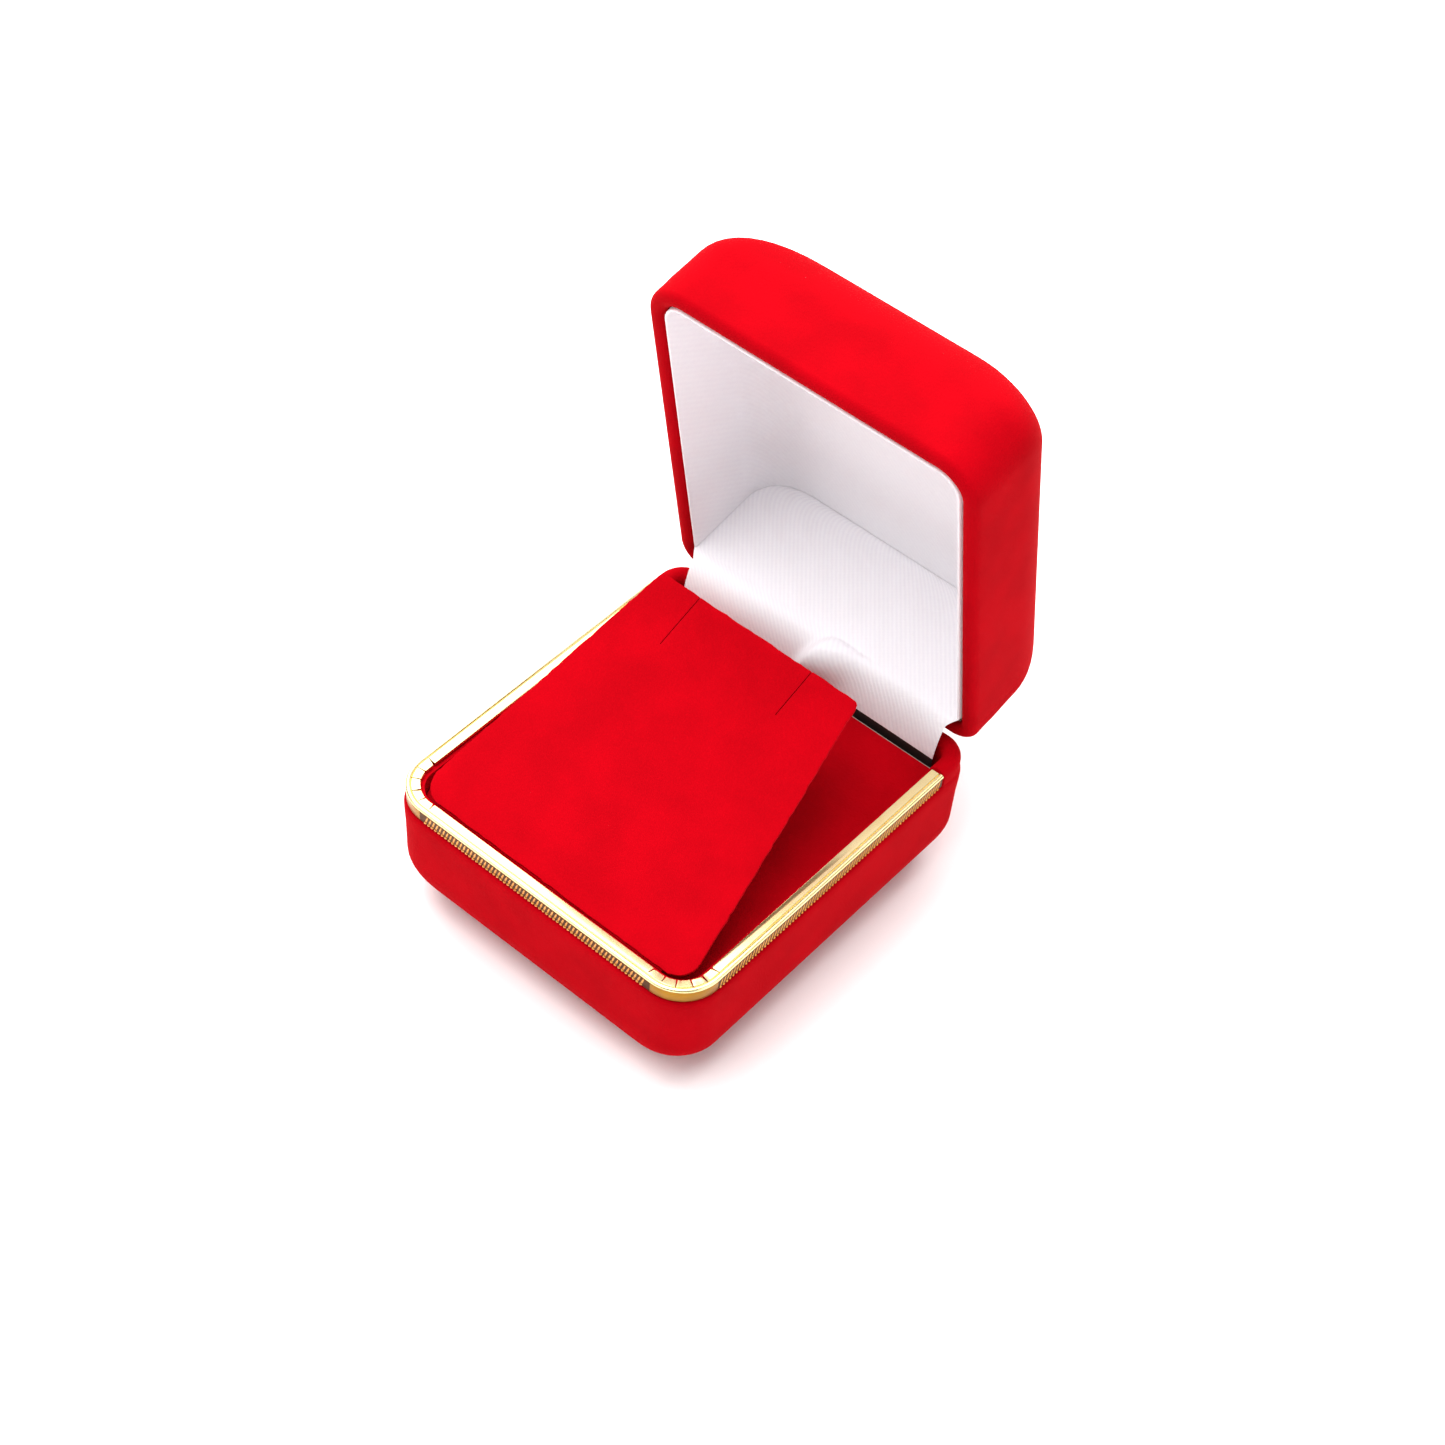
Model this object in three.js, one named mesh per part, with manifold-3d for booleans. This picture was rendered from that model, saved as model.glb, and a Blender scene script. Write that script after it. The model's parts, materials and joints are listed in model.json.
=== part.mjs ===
// Hinged jewellery box for one ring or pendant, shown open.
// Millimetres, +Z up. Origin: centre of the flat underside. +Y points to the hinge, +X to the right.

import * as THREE from 'three';
import { mergeVertices } from 'three/addons/utils/BufferGeometryUtils.js';
import Module from 'manifold-3d';

const wasm = await Module();
wasm.setup();

// ---------- driving dimensions ----------
const WIDTH = 51; // outside, along the hinge (2 in)
const DEPTH = 57; // outside, front to back (2 1/4 in)
const RIM_Z = 20; // top of the metal rim of the base
const LID_GAP = 0.15; // air between the closed lid and the rim
const LID_HEIGHT = 19.7; // lid, from its rim to its flat top
const CORNER_R = 6; // front vertical corners, measured at the rim
const REAR_R = 4; // rear vertical corners
const OPEN_ANGLE = THREE.MathUtils.degToRad(78.6); // rim of the lid above the rim of the base

// rounding of each half: edge round along front and sides, tighter at the back
const BASE_FORM = { height: RIM_Z, edge: 8, backEdge: 3, cornerGrowth: 0.9 };
const LID_FORM = { height: LID_HEIGHT, edge: 10.5, backEdge: 3, cornerGrowth: 0.65 };

// wall make-up, as distances in from the outside face
const COVER_T = 0.85; // velvet with its pile
const SHELL_OUT = 1.0;
const SHELL_IN = 1.9;
const TURN_OUT = 2.05; // velvet turned in over the rim
const TURN_IN = 2.5;
const TURN_DEPTH = 6; // how far the turned-in velvet reaches
const LINING_OUT = 2.65;
const LINING_IN = 3.05;
const FIT = 0.15; // gap between touching layers

// base rim and its metal strip
const TRIM_END_Y = 22; // the strip stops where the back corners start
const TRIM_DROP = 2.3; // outer flange
const TRIM_T = 0.3;
const TRIM_IN = 2.1; // width of its top
const UNDER_TRIM_Z = RIM_Z - 1.25; // velvet pressed flat under the strip
const BACK_RIM_Z = RIM_Z - 0.15; // bare velvet rim at the back corners
const NOTCHES = 6; // per front corner
const NOTCH_STEP = THREE.MathUtils.degToRad(19.6);
const NOTCH_W = 0.42;

// insert
const TRAY_TOP = RIM_Z - 3;
const TRAY_INSET = 2.8;
const TRAY_BACK_Y = 24.45;
const TRAY_SKIRT = 5.5;
const FOAM_TOP = 15.8;

// flap, hinged along its top front edge
const FLAP = { pivotY: -25.8, pivotZ: RIM_Z - 0.6, length: 41.9, frontHalf: 22.4, backHalf: 16.4 };
const FLAP_SLOPE = THREE.MathUtils.degToRad(20.8);
const FLAP_STRAIGHT = 3.4; // front stretch before the sides taper
const FLAP_LAYERS = { velvet: [-0.5, 0], card: [-1.25, -0.65] };
const SLITS = [{ x: -9.9, length: 8.2 }, { x: 8.8, length: 7.4 }];
const SLIT_W = 0.4;

// spring hinge
const HINGE = { y: 28.2, z: RIM_Z };
const PIN_R = 0.5;
const KNUCKLE_BORE = 0.65;
const KNUCKLE_R = 1.1;
const LEAF_HALF = 15;
const MID_HALF = 6.7; // the lid leaf's knuckle
const KNUCKLE_GAP = 0.3;
const LEAF_Y = [25.5, 25.8];
const LEAF_WEB = [0.95, 1.25]; // below or above the pin
const LEAF_REACH = 6.5;
const HINGE_SLOT_HALF = 15.8;
const HINGE_SLOT_DROP = 1.4; // walls stand back from the pin by this

// satin over the hinge
const STRIP_HALF = 21.5;
const TAIL_Y = [24.75, 24.95];
const PANEL_SATIN_Y = [24.15, 24.4];
const PANEL_CARD_Y = [24.6, 24.95];
const SPRING_HALF = 3;
const SPRING_T = 0.2;

const STEPS = 6; // facets in each quarter turn

// ---------- materials ----------
const material = (color, roughness, metalness = 0) =>
  new THREE.MeshStandardMaterial({ color, roughness, metalness });
const velvet = () => material('#d0021b', 1);
const satin = () => material('#f1edf4', 0.45);
const card = () => material('#8d8478', 0.9);
const plastic = () => material('#3a1013', 0.6);
const brass = () => material('#e6c463', 0.25, 1);
const steel = () => material('#b9bcc0', 0.35, 1);
const foam = () => material('#e9e4d6', 0.95);

// ---------- solids ----------
function toSolid(geometry) {
  const bare = geometry.index ? geometry : geometry.clone();
  bare.deleteAttribute('normal');
  bare.deleteAttribute('uv');
  const merged = mergeVertices(bare, 1e-4);
  const vertProperties = new Float32Array(merged.attributes.position.array);
  const triVerts = new Uint32Array(merged.index.array);
  return new wasm.Manifold(new wasm.Mesh({ numProp: 3, vertProperties, triVerts }));
}

function toGeometry(solid) {
  const mesh = solid.getMesh();
  const geometry = new THREE.BufferGeometry();
  geometry.setAttribute('position', new THREE.BufferAttribute(new Float32Array(mesh.vertProperties), 3));
  geometry.setIndex(new THREE.BufferAttribute(new Uint32Array(mesh.triVerts), 1));
  geometry.computeVertexNormals();
  return geometry;
}

// A skin through rings of equal length, closed by flat ends.
function loft(rings) {
  const count = rings[0].length;
  const position = rings.flat().flatMap((p) => [p.x, p.y, p.z]);
  const index = [];
  for (let k = 0; k + 1 < rings.length; k += 1) {
    for (let i = 0; i < count; i += 1) {
      const a = k * count + i;
      const b = k * count + ((i + 1) % count);
      index.push(a, b, b + count, a, b + count, a + count);
    }
  }
  const last = (rings.length - 1) * count;
  const flat = flatten(rings[0]);
  for (const [a, b, c] of THREE.ShapeUtils.triangulateShape(flat, [])) {
    index.push(c, b, a);
    index.push(last + a, last + b, last + c);
  }
  const geometry = new THREE.BufferGeometry();
  geometry.setAttribute('position', new THREE.Float32BufferAttribute(position, 3));
  geometry.setIndex(index);
  return outward(geometry);
}

// The end ring drawn in its own plane, for cutting it into triangles.
function flatten(ring) {
  const u = ring[1].clone().sub(ring[0]).normalize();
  let w = new THREE.Vector3();
  for (let i = 2; w.lengthSq() < 1e-9; i += 1) w = u.clone().cross(ring[i].clone().sub(ring[0]));
  const v = w.normalize().cross(u);
  const points = ring.map((p) => p.clone().sub(ring[0]));
  const flat = points.map((p) => new THREE.Vector2(p.dot(u), p.dot(v)));
  return THREE.ShapeUtils.isClockWise(flat) ? flat.map((p) => new THREE.Vector2(p.x, -p.y)) : flat;
}

// Turns every face round when the enclosed volume comes out negative.
function outward(geometry) {
  const p = geometry.attributes.position;
  const at = (i) => new THREE.Vector3().fromBufferAttribute(p, i);
  const index = Array.from(geometry.index.array);
  let volume = 0;
  for (let i = 0; i < index.length; i += 3) {
    volume += at(index[i]).dot(at(index[i + 1]).cross(at(index[i + 2])));
  }
  if (volume < 0) index.reverse();
  geometry.setIndex(index);
  return geometry;
}

function block([x0, x1], [y0, y1], [z0, z1]) {
  const geometry = new THREE.BoxGeometry(x1 - x0, y1 - y0, z1 - z0);
  geometry.translate((x0 + x1) / 2, (y0 + y1) / 2, (z0 + z1) / 2);
  return toSolid(geometry);
}

// Rounded rectangle seen from above, anticlockwise, with its own radius at the rear corners.
function roundedRing(half, front, back, frontRadius, rearRadius, z) {
  const ring = [];
  for (let q = 0; q < 4; q += 1) {
    const right = q === 0 || q === 3;
    const radius = q < 2 ? rearRadius : frontRadius;
    const cx = right ? half - radius : radius - half;
    const cy = q < 2 ? back - radius : radius + front;
    for (let i = 0; i <= STEPS; i += 1) {
      const a = (q + i / STEPS) * (Math.PI / 2);
      ring.push(new THREE.Vector3(cx + radius * Math.cos(a), cy + radius * Math.sin(a), z));
    }
  }
  return ring;
}

// One half of the box as a closed body, its skin moved in by `inset`; z runs from rim to far face.
function halfRings(form, inset, top = 0) {
  const rings = [ringAt(form, inset, 0, top)];
  for (let i = 0; i <= STEPS; i += 1) rings.push(ringAt(form, inset, i / STEPS, null));
  return rings;
}

function ringAt(form, inset, turn, depth) {
  const a = turn * (Math.PI / 2);
  const side = (form.edge - inset) * (1 - Math.cos(a));
  const rear = Math.max(form.backEdge - inset, 0.1) * (1 - Math.cos(a));
  const z = depth ?? form.height - form.edge + (form.edge - inset) * Math.sin(a);
  const half = WIDTH / 2 - inset - side;
  const front = -DEPTH / 2 + inset + side;
  const radius = (rim) => Math.min(Math.max(rim - inset, 0.8) + form.cornerGrowth * side, half - 0.01);
  return roundedRing(half, front, DEPTH / 2 - inset - rear, radius(CORNER_R), radius(REAR_R), z);
}

// `top` is how far below the rim plane the body starts.
function baseBody(inset, top = 0) {
  const rings = halfRings(BASE_FORM, inset, top);
  for (const p of rings.flat()) p.z = RIM_Z - p.z;
  return toSolid(loft(rings));
}

function lidBody(inset, top = 0) {
  const rings = halfRings(LID_FORM, inset, top);
  for (const p of rings.flat()) p.z += RIM_Z + LID_GAP;
  return toSolid(loft(rings));
}

function column(inset, z0, z1) {
  const [half, front, back] = [WIDTH / 2 - inset, inset - DEPTH / 2, DEPTH / 2 - inset];
  const rearRadius = Math.max(REAR_R - inset, 0.8);
  const ring = (z) => roundedRing(half, front, back, CORNER_R - inset, rearRadius, z);
  return toSolid(loft([ring(z0), ring(z1)]));
}

// A prism along X whose section is given as [y, z] points.
function prismX(points, x0, x1) {
  const ring = (x) => points.map(([y, z]) => new THREE.Vector3(x, y, z));
  return toSolid(loft([ring(x0), ring(x1)]));
}

function rodX(radius, x0, x1) {
  const geometry = new THREE.CylinderGeometry(radius, radius, x1 - x0, 4 * STEPS);
  geometry.rotateZ(Math.PI / 2).translate((x0 + x1) / 2, HINGE.y, HINGE.z);
  return toSolid(geometry);
}

// ---------- velvet-covered halves ----------
const HINGE_SLOT_X = [-HINGE_SLOT_HALF, HINGE_SLOT_HALF];
const FAR = 40;

// Room round the hinge, and the back edge rounded off so that the halves swing clear.
function hingeSlot(side) {
  const z = RIM_Z + side * HINGE_SLOT_DROP;
  const span = side > 0 ? [RIM_Z, z] : [z, RIM_Z];
  return block(HINGE_SLOT_X, [25, 30], span);
}

function backChamfer(side) {
  const y = DEPTH / 2;
  const z = side > 0 ? RIM_Z + LID_GAP : BACK_RIM_Z;
  const points = [[y - 1.1, z - side * 0.2], [y + 1, z - side * 0.2], [y + 1, z + side * 2.1]];
  return prismX(points, -WIDTH, WIDTH);
}

function makeBaseCover() {
  const turned = column(TURN_OUT, UNDER_TRIM_Z - TURN_DEPTH, FAR);
  const shellRoom = baseBody(COVER_T, RIM_Z - UNDER_TRIM_Z + 0.3).subtract(turned);
  const underTrim = column(-1, RIM_Z - TRIM_DROP - FIT, FAR).subtract(column(TRIM_T + FIT, 0, FAR));
  const overTrim = column(-1, UNDER_TRIM_Z, FAR);
  const trimRoom = underTrim.add(overTrim).intersect(block([-FAR, FAR], [-FAR, TRIM_END_Y + FIT], [0, FAR]));
  return baseBody(0, RIM_Z - BACK_RIM_Z)
    .subtract(shellRoom)
    .subtract(column(TURN_IN, UNDER_TRIM_Z - TURN_DEPTH - 1, FAR))
    .subtract(trimRoom)
    .subtract(hingeSlot(-1))
    .subtract(backChamfer(-1));
}

function makeBaseShell() {
  return baseBody(SHELL_OUT, RIM_Z - UNDER_TRIM_Z + 0.3 + FIT)
    .subtract(baseBody(SHELL_IN, 0))
    .subtract(hingeSlot(-1));
}

function makeLidCover() {
  const rim = RIM_Z + LID_GAP;
  const turned = column(TURN_OUT, 0, rim + TURN_DEPTH);
  const shellRoom = lidBody(COVER_T, 0.6).subtract(turned);
  return lidBody(0)
    .subtract(shellRoom)
    .subtract(column(TURN_IN, 0, rim + TURN_DEPTH + 1))
    .subtract(hingeSlot(1))
    .subtract(backChamfer(1));
}

function makeLidShell() {
  return lidBody(SHELL_OUT, 0.6 + FIT)
    .subtract(lidBody(SHELL_IN, 0))
    .subtract(hingeSlot(1));
}

// ---------- lid lining ----------
function makeLinerCard() {
  const above = block([-FAR, FAR], [-FAR, FAR], [RIM_Z + LID_GAP + TURN_DEPTH + FIT, FAR + FAR]);
  return lidBody(TURN_OUT, 0).subtract(lidBody(TURN_IN, 0)).intersect(above);
}

function makeSatinLining() {
  const body = lidBody(LINING_OUT, 0.25).subtract(lidBody(LINING_IN, 0));
  return body.intersect(block([-FAR, FAR], [-FAR, PANEL_SATIN_Y[0] - FIT], [0, FAR + FAR]));
}

// The back panel, shaped to the inside of the lid.
function makeBackPanel(yRange, inset, z0) {
  return lidBody(inset, 0.25).intersect(block([-FAR, FAR], yRange, [z0, FAR + FAR]));
}

// ---------- metal rim strip ----------
// Section as [distance in from the outside face, z]: flange, round bead, groove, flat top, inner lip.
function trimSection() {
  const bead = { x: 0.5, z: RIM_Z - 0.5, r: 0.5 };
  const points = [[TRIM_T, RIM_Z - TRIM_DROP], [0, RIM_Z - TRIM_DROP]];
  for (let i = 0; i <= 5; i += 1) {
    const a = Math.PI * (1 - (i / 5) * 0.83);
    points.push([bead.x + bead.r * Math.cos(a), bead.z + bead.r * Math.sin(a)]);
  }
  points.push([1.1, RIM_Z - 0.42], [TRIM_IN - 0.2, RIM_Z - 0.55], [TRIM_IN, RIM_Z - 0.7]);
  points.push([TRIM_IN, RIM_Z - 1.05], [TRIM_IN - 0.25, RIM_Z - 1.05], [TRIM_IN - 0.3, RIM_Z - 0.85]);
  points.push([1.0, RIM_Z - 0.78], [0.55, RIM_Z - 0.62], [TRIM_T, RIM_Z - 0.75]);
  return points;
}

// Stations round the open U, each with its place on the outside face and its inward direction.
function trimStations() {
  const stations = [];
  const corner = (cx, start) => {
    for (let i = 0; i <= 2 * STEPS; i += 1) {
      const a = start + (i / (2 * STEPS)) * (Math.PI / 2);
      const out = new THREE.Vector3(Math.cos(a), Math.sin(a), 0);
      const at = new THREE.Vector3(cx, CORNER_R - DEPTH / 2, 0).addScaledVector(out, CORNER_R);
      stations.push({ at, inward: out.negate() });
    }
  };
  const x = WIDTH / 2;
  stations.push({ at: new THREE.Vector3(-x, TRIM_END_Y, 0), inward: new THREE.Vector3(1, 0, 0) });
  corner(CORNER_R - x, Math.PI);
  corner(x - CORNER_R, 1.5 * Math.PI);
  stations.push({ at: new THREE.Vector3(x, TRIM_END_Y, 0), inward: new THREE.Vector3(-1, 0, 0) });
  return stations;
}

// Wedges that split the top of the strip into tabs so that it bends round a corner.
function cornerNotches(cx, middle) {
  const wedges = [];
  for (let i = 0; i < NOTCHES; i += 1) {
    const a = middle + (i - (NOTCHES - 1) / 2) * NOTCH_STEP;
    const out = new THREE.Vector2(Math.cos(a), Math.sin(a));
    const across = new THREE.Vector2(-out.y, out.x);
    const centre = new THREE.Vector2(cx, CORNER_R - DEPTH / 2);
    const tip = centre.clone().addScaledVector(out, CORNER_R - 1.05);
    const mouth = centre.clone().addScaledVector(out, CORNER_R - TRIM_IN - 0.6);
    const corners = [tip, mouth.clone().addScaledVector(across, NOTCH_W), mouth.addScaledVector(across, -NOTCH_W)];
    const ring = (z) => corners.map((c) => new THREE.Vector3(c.x, c.y, z));
    wedges.push(toSolid(loft([ring(RIM_Z - 1.3), ring(RIM_Z + 1)])));
  }
  return wedges;
}

function makeRimTrim() {
  const section = trimSection();
  const rings = trimStations().map(({ at, inward }) =>
    section.map(([d, z]) => at.clone().addScaledVector(inward, d).setZ(z)));
  let strip = toSolid(loft(rings));
  const x = WIDTH / 2 - CORNER_R;
  for (const wedge of [...cornerNotches(-x, 1.25 * Math.PI), ...cornerNotches(x, 1.75 * Math.PI)]) {
    strip = strip.subtract(wedge);
  }
  return strip;
}

// ---------- insert ----------
function makeTray() {
  const skirtInset = TRAY_INSET + 0.7;
  const behind = (y) => block([-FAR, FAR], [-FAR, y], [0, FAR]);
  const outside = column(TRAY_INSET, TRAY_TOP - TRAY_SKIRT, TRAY_TOP - 0.4).intersect(behind(TRAY_BACK_Y));
  const hollow = column(skirtInset, 0, FOAM_TOP + 0.3).intersect(behind(TRAY_BACK_Y - 0.7));
  return outside.subtract(hollow);
}

function makeTrayVelvet() {
  return column(TRAY_INSET, TRAY_TOP - 0.3, TRAY_TOP)
    .intersect(block([-FAR, FAR], [-FAR, TRAY_BACK_Y], [0, FAR]));
}

function makeFoam() {
  const room = column(TRAY_INSET + 1, 0, FOAM_TOP).intersect(block([-FAR, FAR], [-FAR, 23.4], [0, FAR]));
  return baseBody(SHELL_IN + 0.25, 0).intersect(room);
}

function makeFoldWeb() {
  const halfWidth = FLAP.frontHalf - 3.4;
  return block([-halfWidth, halfWidth], [-25.65, -25.3], [TRAY_TOP + FIT, RIM_Z - 1.4]);
}

// ---------- flap ----------
// Outline from above, in the flap's own plane: y runs back from the fold.
function flapOutline() {
  const { length, frontHalf, backHalf } = FLAP;
  const r = 3; // round front corners
  const c = 0.8; // eased back corners
  const right = [[frontHalf - r, 0]];
  for (let i = 1; i <= STEPS; i += 1) {
    const a = (i / STEPS) * (Math.PI / 2);
    right.push([frontHalf - r + r * Math.sin(a), r - r * Math.cos(a)]);
  }
  right.push([frontHalf, FLAP_STRAIGHT], [backHalf + 0.1, length - c], [backHalf - c, length]);
  const left = right.map(([x, y]) => [-x, y]).reverse();
  return [...right, ...left];
}

function makeFlapLayer([z0, z1], shrink) {
  const centre = FLAP.length / 2;
  const ring = (z) => flapOutline().map(([x, y]) => {
    const point = new THREE.Vector3(x, y - centre, z);
    point.x *= 1 - shrink / FLAP.frontHalf;
    point.y = point.y * (1 - (2 * shrink) / FLAP.length) + centre;
    return point;
  });
  let layer = toSolid(loft([ring(z0), ring(z1)]));
  for (const { x, length } of SLITS) {
    layer = layer.subtract(block([x - SLIT_W / 2, x + SLIT_W / 2], [FLAP.length - length, 60], [-5, 5]));
  }
  return layer;
}

// ---------- spring hinge ----------
// side -1 is the base leaf, +1 the lid leaf (in the closed position).
function makeLeaf(side) {
  const zRange = (a, b) => (side > 0 ? [HINGE.z + a, HINGE.z + b] : [HINGE.z - b, HINGE.z - a]);
  const plate = block([-LEAF_HALF, LEAF_HALF], LEAF_Y, zRange(LEAF_WEB[0], LEAF_REACH));
  const web = block([-LEAF_HALF, LEAF_HALF], [LEAF_Y[0], 26.5], zRange(...LEAF_WEB));
  const mid = [[-MID_HALF, MID_HALF]];
  const outer = [[-LEAF_HALF, -MID_HALF - KNUCKLE_GAP], [MID_HALF + KNUCKLE_GAP, LEAF_HALF]];
  let leaf = plate.add(web);
  for (const [x0, x1] of side > 0 ? mid : outer) {
    leaf = leaf.add(block([x0, x1], [26.4, HINGE.y], zRange(...LEAF_WEB)));
    leaf = leaf.add(rodX(KNUCKLE_R, x0, x1));
  }
  return leaf.subtract(rodX(KNUCKLE_BORE, -FAR, FAR));
}

// A bowed strip of spring steel from leaf to leaf, drawn in its open state.
function makeSnapSpring() {
  const route = [[25.22, 14.6], [25.22, 17.6], [25.3, 19.4], [25.9, 21.2], [27.3, 22.7], [29.6, 23.35], [32, 23.8]];
  const curve = new THREE.CatmullRomCurve3(route.map(([y, z]) => new THREE.Vector3(0, y, z)));
  const spine = curve.getPoints(18);
  const side = (sign) => spine.map((p, i) => {
    const t = curve.getTangent(i / 18);
    return [p.y - sign * t.z * (SPRING_T / 2), p.z + sign * t.y * (SPRING_T / 2)];
  });
  return prismX([...side(1), ...side(-1).reverse()], -SPRING_HALF, SPRING_HALF);
}

// ---------- assembly ----------
const box = new THREE.Group();
box.name = 'jewellery_box';

function put(parent, name, solid, look) {
  const mesh = new THREE.Mesh(toGeometry(solid), look);
  mesh.name = name;
  parent.add(mesh);
}

put(box, 'base_cover', makeBaseCover(), velvet());
put(box, 'base_shell', makeBaseShell(), plastic());
put(box, 'rim_trim', makeRimTrim(), brass());
put(box, 'foam_block', makeFoam(), foam());
put(box, 'insert_tray', makeTray(), card());
put(box, 'insert_velvet', makeTrayVelvet(), velvet());
put(box, 'fold_web', makeFoldWeb(), velvet());
put(box, 'hinge_base_leaf', makeLeaf(-1), steel());
put(box, 'hinge_pin', rodX(PIN_R, -LEAF_HALF - 0.2, LEAF_HALF + 0.2), steel());
put(box, 'snap_spring', makeSnapSpring(), steel());
put(box, 'satin_tail', block([-STRIP_HALF, STRIP_HALF], TAIL_Y, [12.5, RIM_Z - 1.4]), satin());

const flap = new THREE.Group();
flap.position.set(0, FLAP.pivotY, FLAP.pivotZ);
flap.rotation.x = FLAP_SLOPE;
box.add(flap);
put(flap, 'flap_velvet', makeFlapLayer(FLAP_LAYERS.velvet, 0), velvet());
put(flap, 'flap_card', makeFlapLayer(FLAP_LAYERS.card, 0.7), card());

// The lid is modelled closed, in box coordinates, and swung open about the pin.
const lid = new THREE.Group();
lid.position.set(0, HINGE.y, HINGE.z);
lid.rotation.x = -OPEN_ANGLE;
box.add(lid);
const closed = new THREE.Group();
closed.position.set(0, -HINGE.y, -HINGE.z);
lid.add(closed);
put(closed, 'lid_cover', makeLidCover(), velvet());
put(closed, 'lid_shell', makeLidShell(), plastic());
put(closed, 'lid_liner_card', makeLinerCard(), card());
put(closed, 'lid_satin_lining', makeSatinLining(), satin());
put(closed, 'hinge_lid_leaf', makeLeaf(1), steel());
put(closed, 'back_panel_card', makeBackPanel(PANEL_CARD_Y, LINING_OUT, RIM_Z + 0.8), card());
put(closed, 'back_panel_satin', makeBackPanel(PANEL_SATIN_Y, LINING_OUT, RIM_Z + 0.6), satin());

export default box;
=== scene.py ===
# %% [markdown]
# # A red velvet ring box
# The box is two moulded shells joined by a spring hinge, covered in flocked velvet, with a gilt metal strip
# on the rim, a velvet insert with a lifting flap, and satin inside the lid. The frame gives the sizes and
# the moving bodies, so every piece below is modelled straight in place and rides on its body.

# %% Load the frame
import json
import math
import random

import bmesh
import bpy
from mathutils import Matrix, Vector


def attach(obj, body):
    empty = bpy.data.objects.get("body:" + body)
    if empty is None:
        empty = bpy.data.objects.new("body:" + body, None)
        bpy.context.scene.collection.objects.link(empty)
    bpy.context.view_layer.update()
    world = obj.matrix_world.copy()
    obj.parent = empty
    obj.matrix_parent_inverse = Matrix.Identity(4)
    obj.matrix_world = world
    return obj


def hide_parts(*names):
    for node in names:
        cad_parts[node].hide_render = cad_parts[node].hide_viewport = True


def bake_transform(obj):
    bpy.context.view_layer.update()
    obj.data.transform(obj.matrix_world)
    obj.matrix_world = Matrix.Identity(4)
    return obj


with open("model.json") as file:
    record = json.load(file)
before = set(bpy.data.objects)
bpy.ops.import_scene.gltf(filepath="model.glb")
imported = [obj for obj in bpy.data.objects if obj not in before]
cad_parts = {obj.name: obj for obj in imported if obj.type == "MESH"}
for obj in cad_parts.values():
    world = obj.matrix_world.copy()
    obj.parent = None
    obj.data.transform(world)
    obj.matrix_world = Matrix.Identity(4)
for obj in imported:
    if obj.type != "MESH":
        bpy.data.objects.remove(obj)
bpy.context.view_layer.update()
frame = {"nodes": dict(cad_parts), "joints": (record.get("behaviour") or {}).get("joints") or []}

random.seed(7)

# %% [markdown]
# ## Sizes
# A covered box is a stack of layers: velvet, plastic, velvet turned in, lining. Each layer is a distance in
# from the outside face, so one rule can draw every layer. The hinge pin and the two ranges come from the
# frame, because the pieces have to turn about the same lines as the bodies do.

# %% Driving sizes
MM = 0.001
WIDTH, DEPTH, RIM_Z = 51 * MM, 57 * MM, 20 * MM
CORNER_R, REAR_R = 6 * MM, 4 * MM
LID_GAP = 0.15 * MM
BASE = {"rim": RIM_Z - LID_GAP, "way": -1, "height": 20 * MM - LID_GAP, "edge": 8 * MM, "growth": 0.9}
LID = {"rim": RIM_Z + LID_GAP, "way": 1, "height": 19.7 * MM, "edge": 10.5 * MM, "growth": 0.65}
BACK_EDGE = 3 * MM
COVER_T = 0.85 * MM
TURN_OUT, TURN_IN = 2.05 * MM, 2.5 * MM
TURN_DEPTH = 7.2 * MM
LINING_OUT, LINING_IN = 2.65 * MM, 3.05 * MM

joints = {joint["name"]: joint for joint in frame["joints"]}
PIN = Vector(joints["lid_hinge"]["pos_m"])
FOLD = Vector(joints["flap_fold"]["pos_m"])
OPEN_ANGLE = math.radians(joints["lid_hinge"]["range_deg"][1])
FLAP_SLOPE = math.radians(20.8)
print("pin", PIN, "open", round(math.degrees(OPEN_ANGLE), 1))

# %% [markdown]
# ## Camera
# The camera stands front right of the box and looks down steeply, about 390 mm away through a long lens, as
# a product picture is taken. It leans a few degrees about its own line of sight.

# %% Camera
CAMERA_AT = Vector((144.2, -185.4, 293.3)) * MM
TURN, TILT, LEAN = math.radians(36.79), math.radians(41.63), math.radians(5.26)

camera = bpy.data.objects.new("camera", bpy.data.cameras.new("camera"))
bpy.context.scene.collection.objects.link(camera)
camera.data.lens = 69.7
camera.data.sensor_width = 36
camera.data.clip_start = 0.01
turned = Matrix.Rotation(TURN, 4, "Z") @ Matrix.Rotation(TILT, 4, "X") @ Matrix.Rotation(LEAN, 4, "Z")
camera.matrix_world = Matrix.Translation(CAMERA_AT) @ turned
bpy.context.scene.camera = camera
print("camera", camera.location)

# %% [markdown]
# ## Working by hand in edit mode
# Every piece starts as a primitive and is shaped with the edit tools. An edit tool works on whatever is
# selected, so these helpers select by place first. They keep the later cells short.

# %% Helpers for modelling
def new_piece(name, primitive, **settings):
    """Adds a primitive alone, under its own name, with its place put into its mesh."""
    bpy.ops.object.select_all(action="DESELECT")
    primitive(**settings)
    piece = bpy.context.object
    piece.name = piece.data.name = name
    bpy.ops.object.transform_apply(location=True, rotation=True, scale=True)
    return piece


def only(piece):
    """Makes one piece the selected and active one."""
    bpy.ops.object.select_all(action="DESELECT")
    piece.select_set(True)
    bpy.context.view_layer.objects.active = piece


def edit(piece):
    only(piece)
    bpy.ops.object.mode_set(mode="EDIT")


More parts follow.
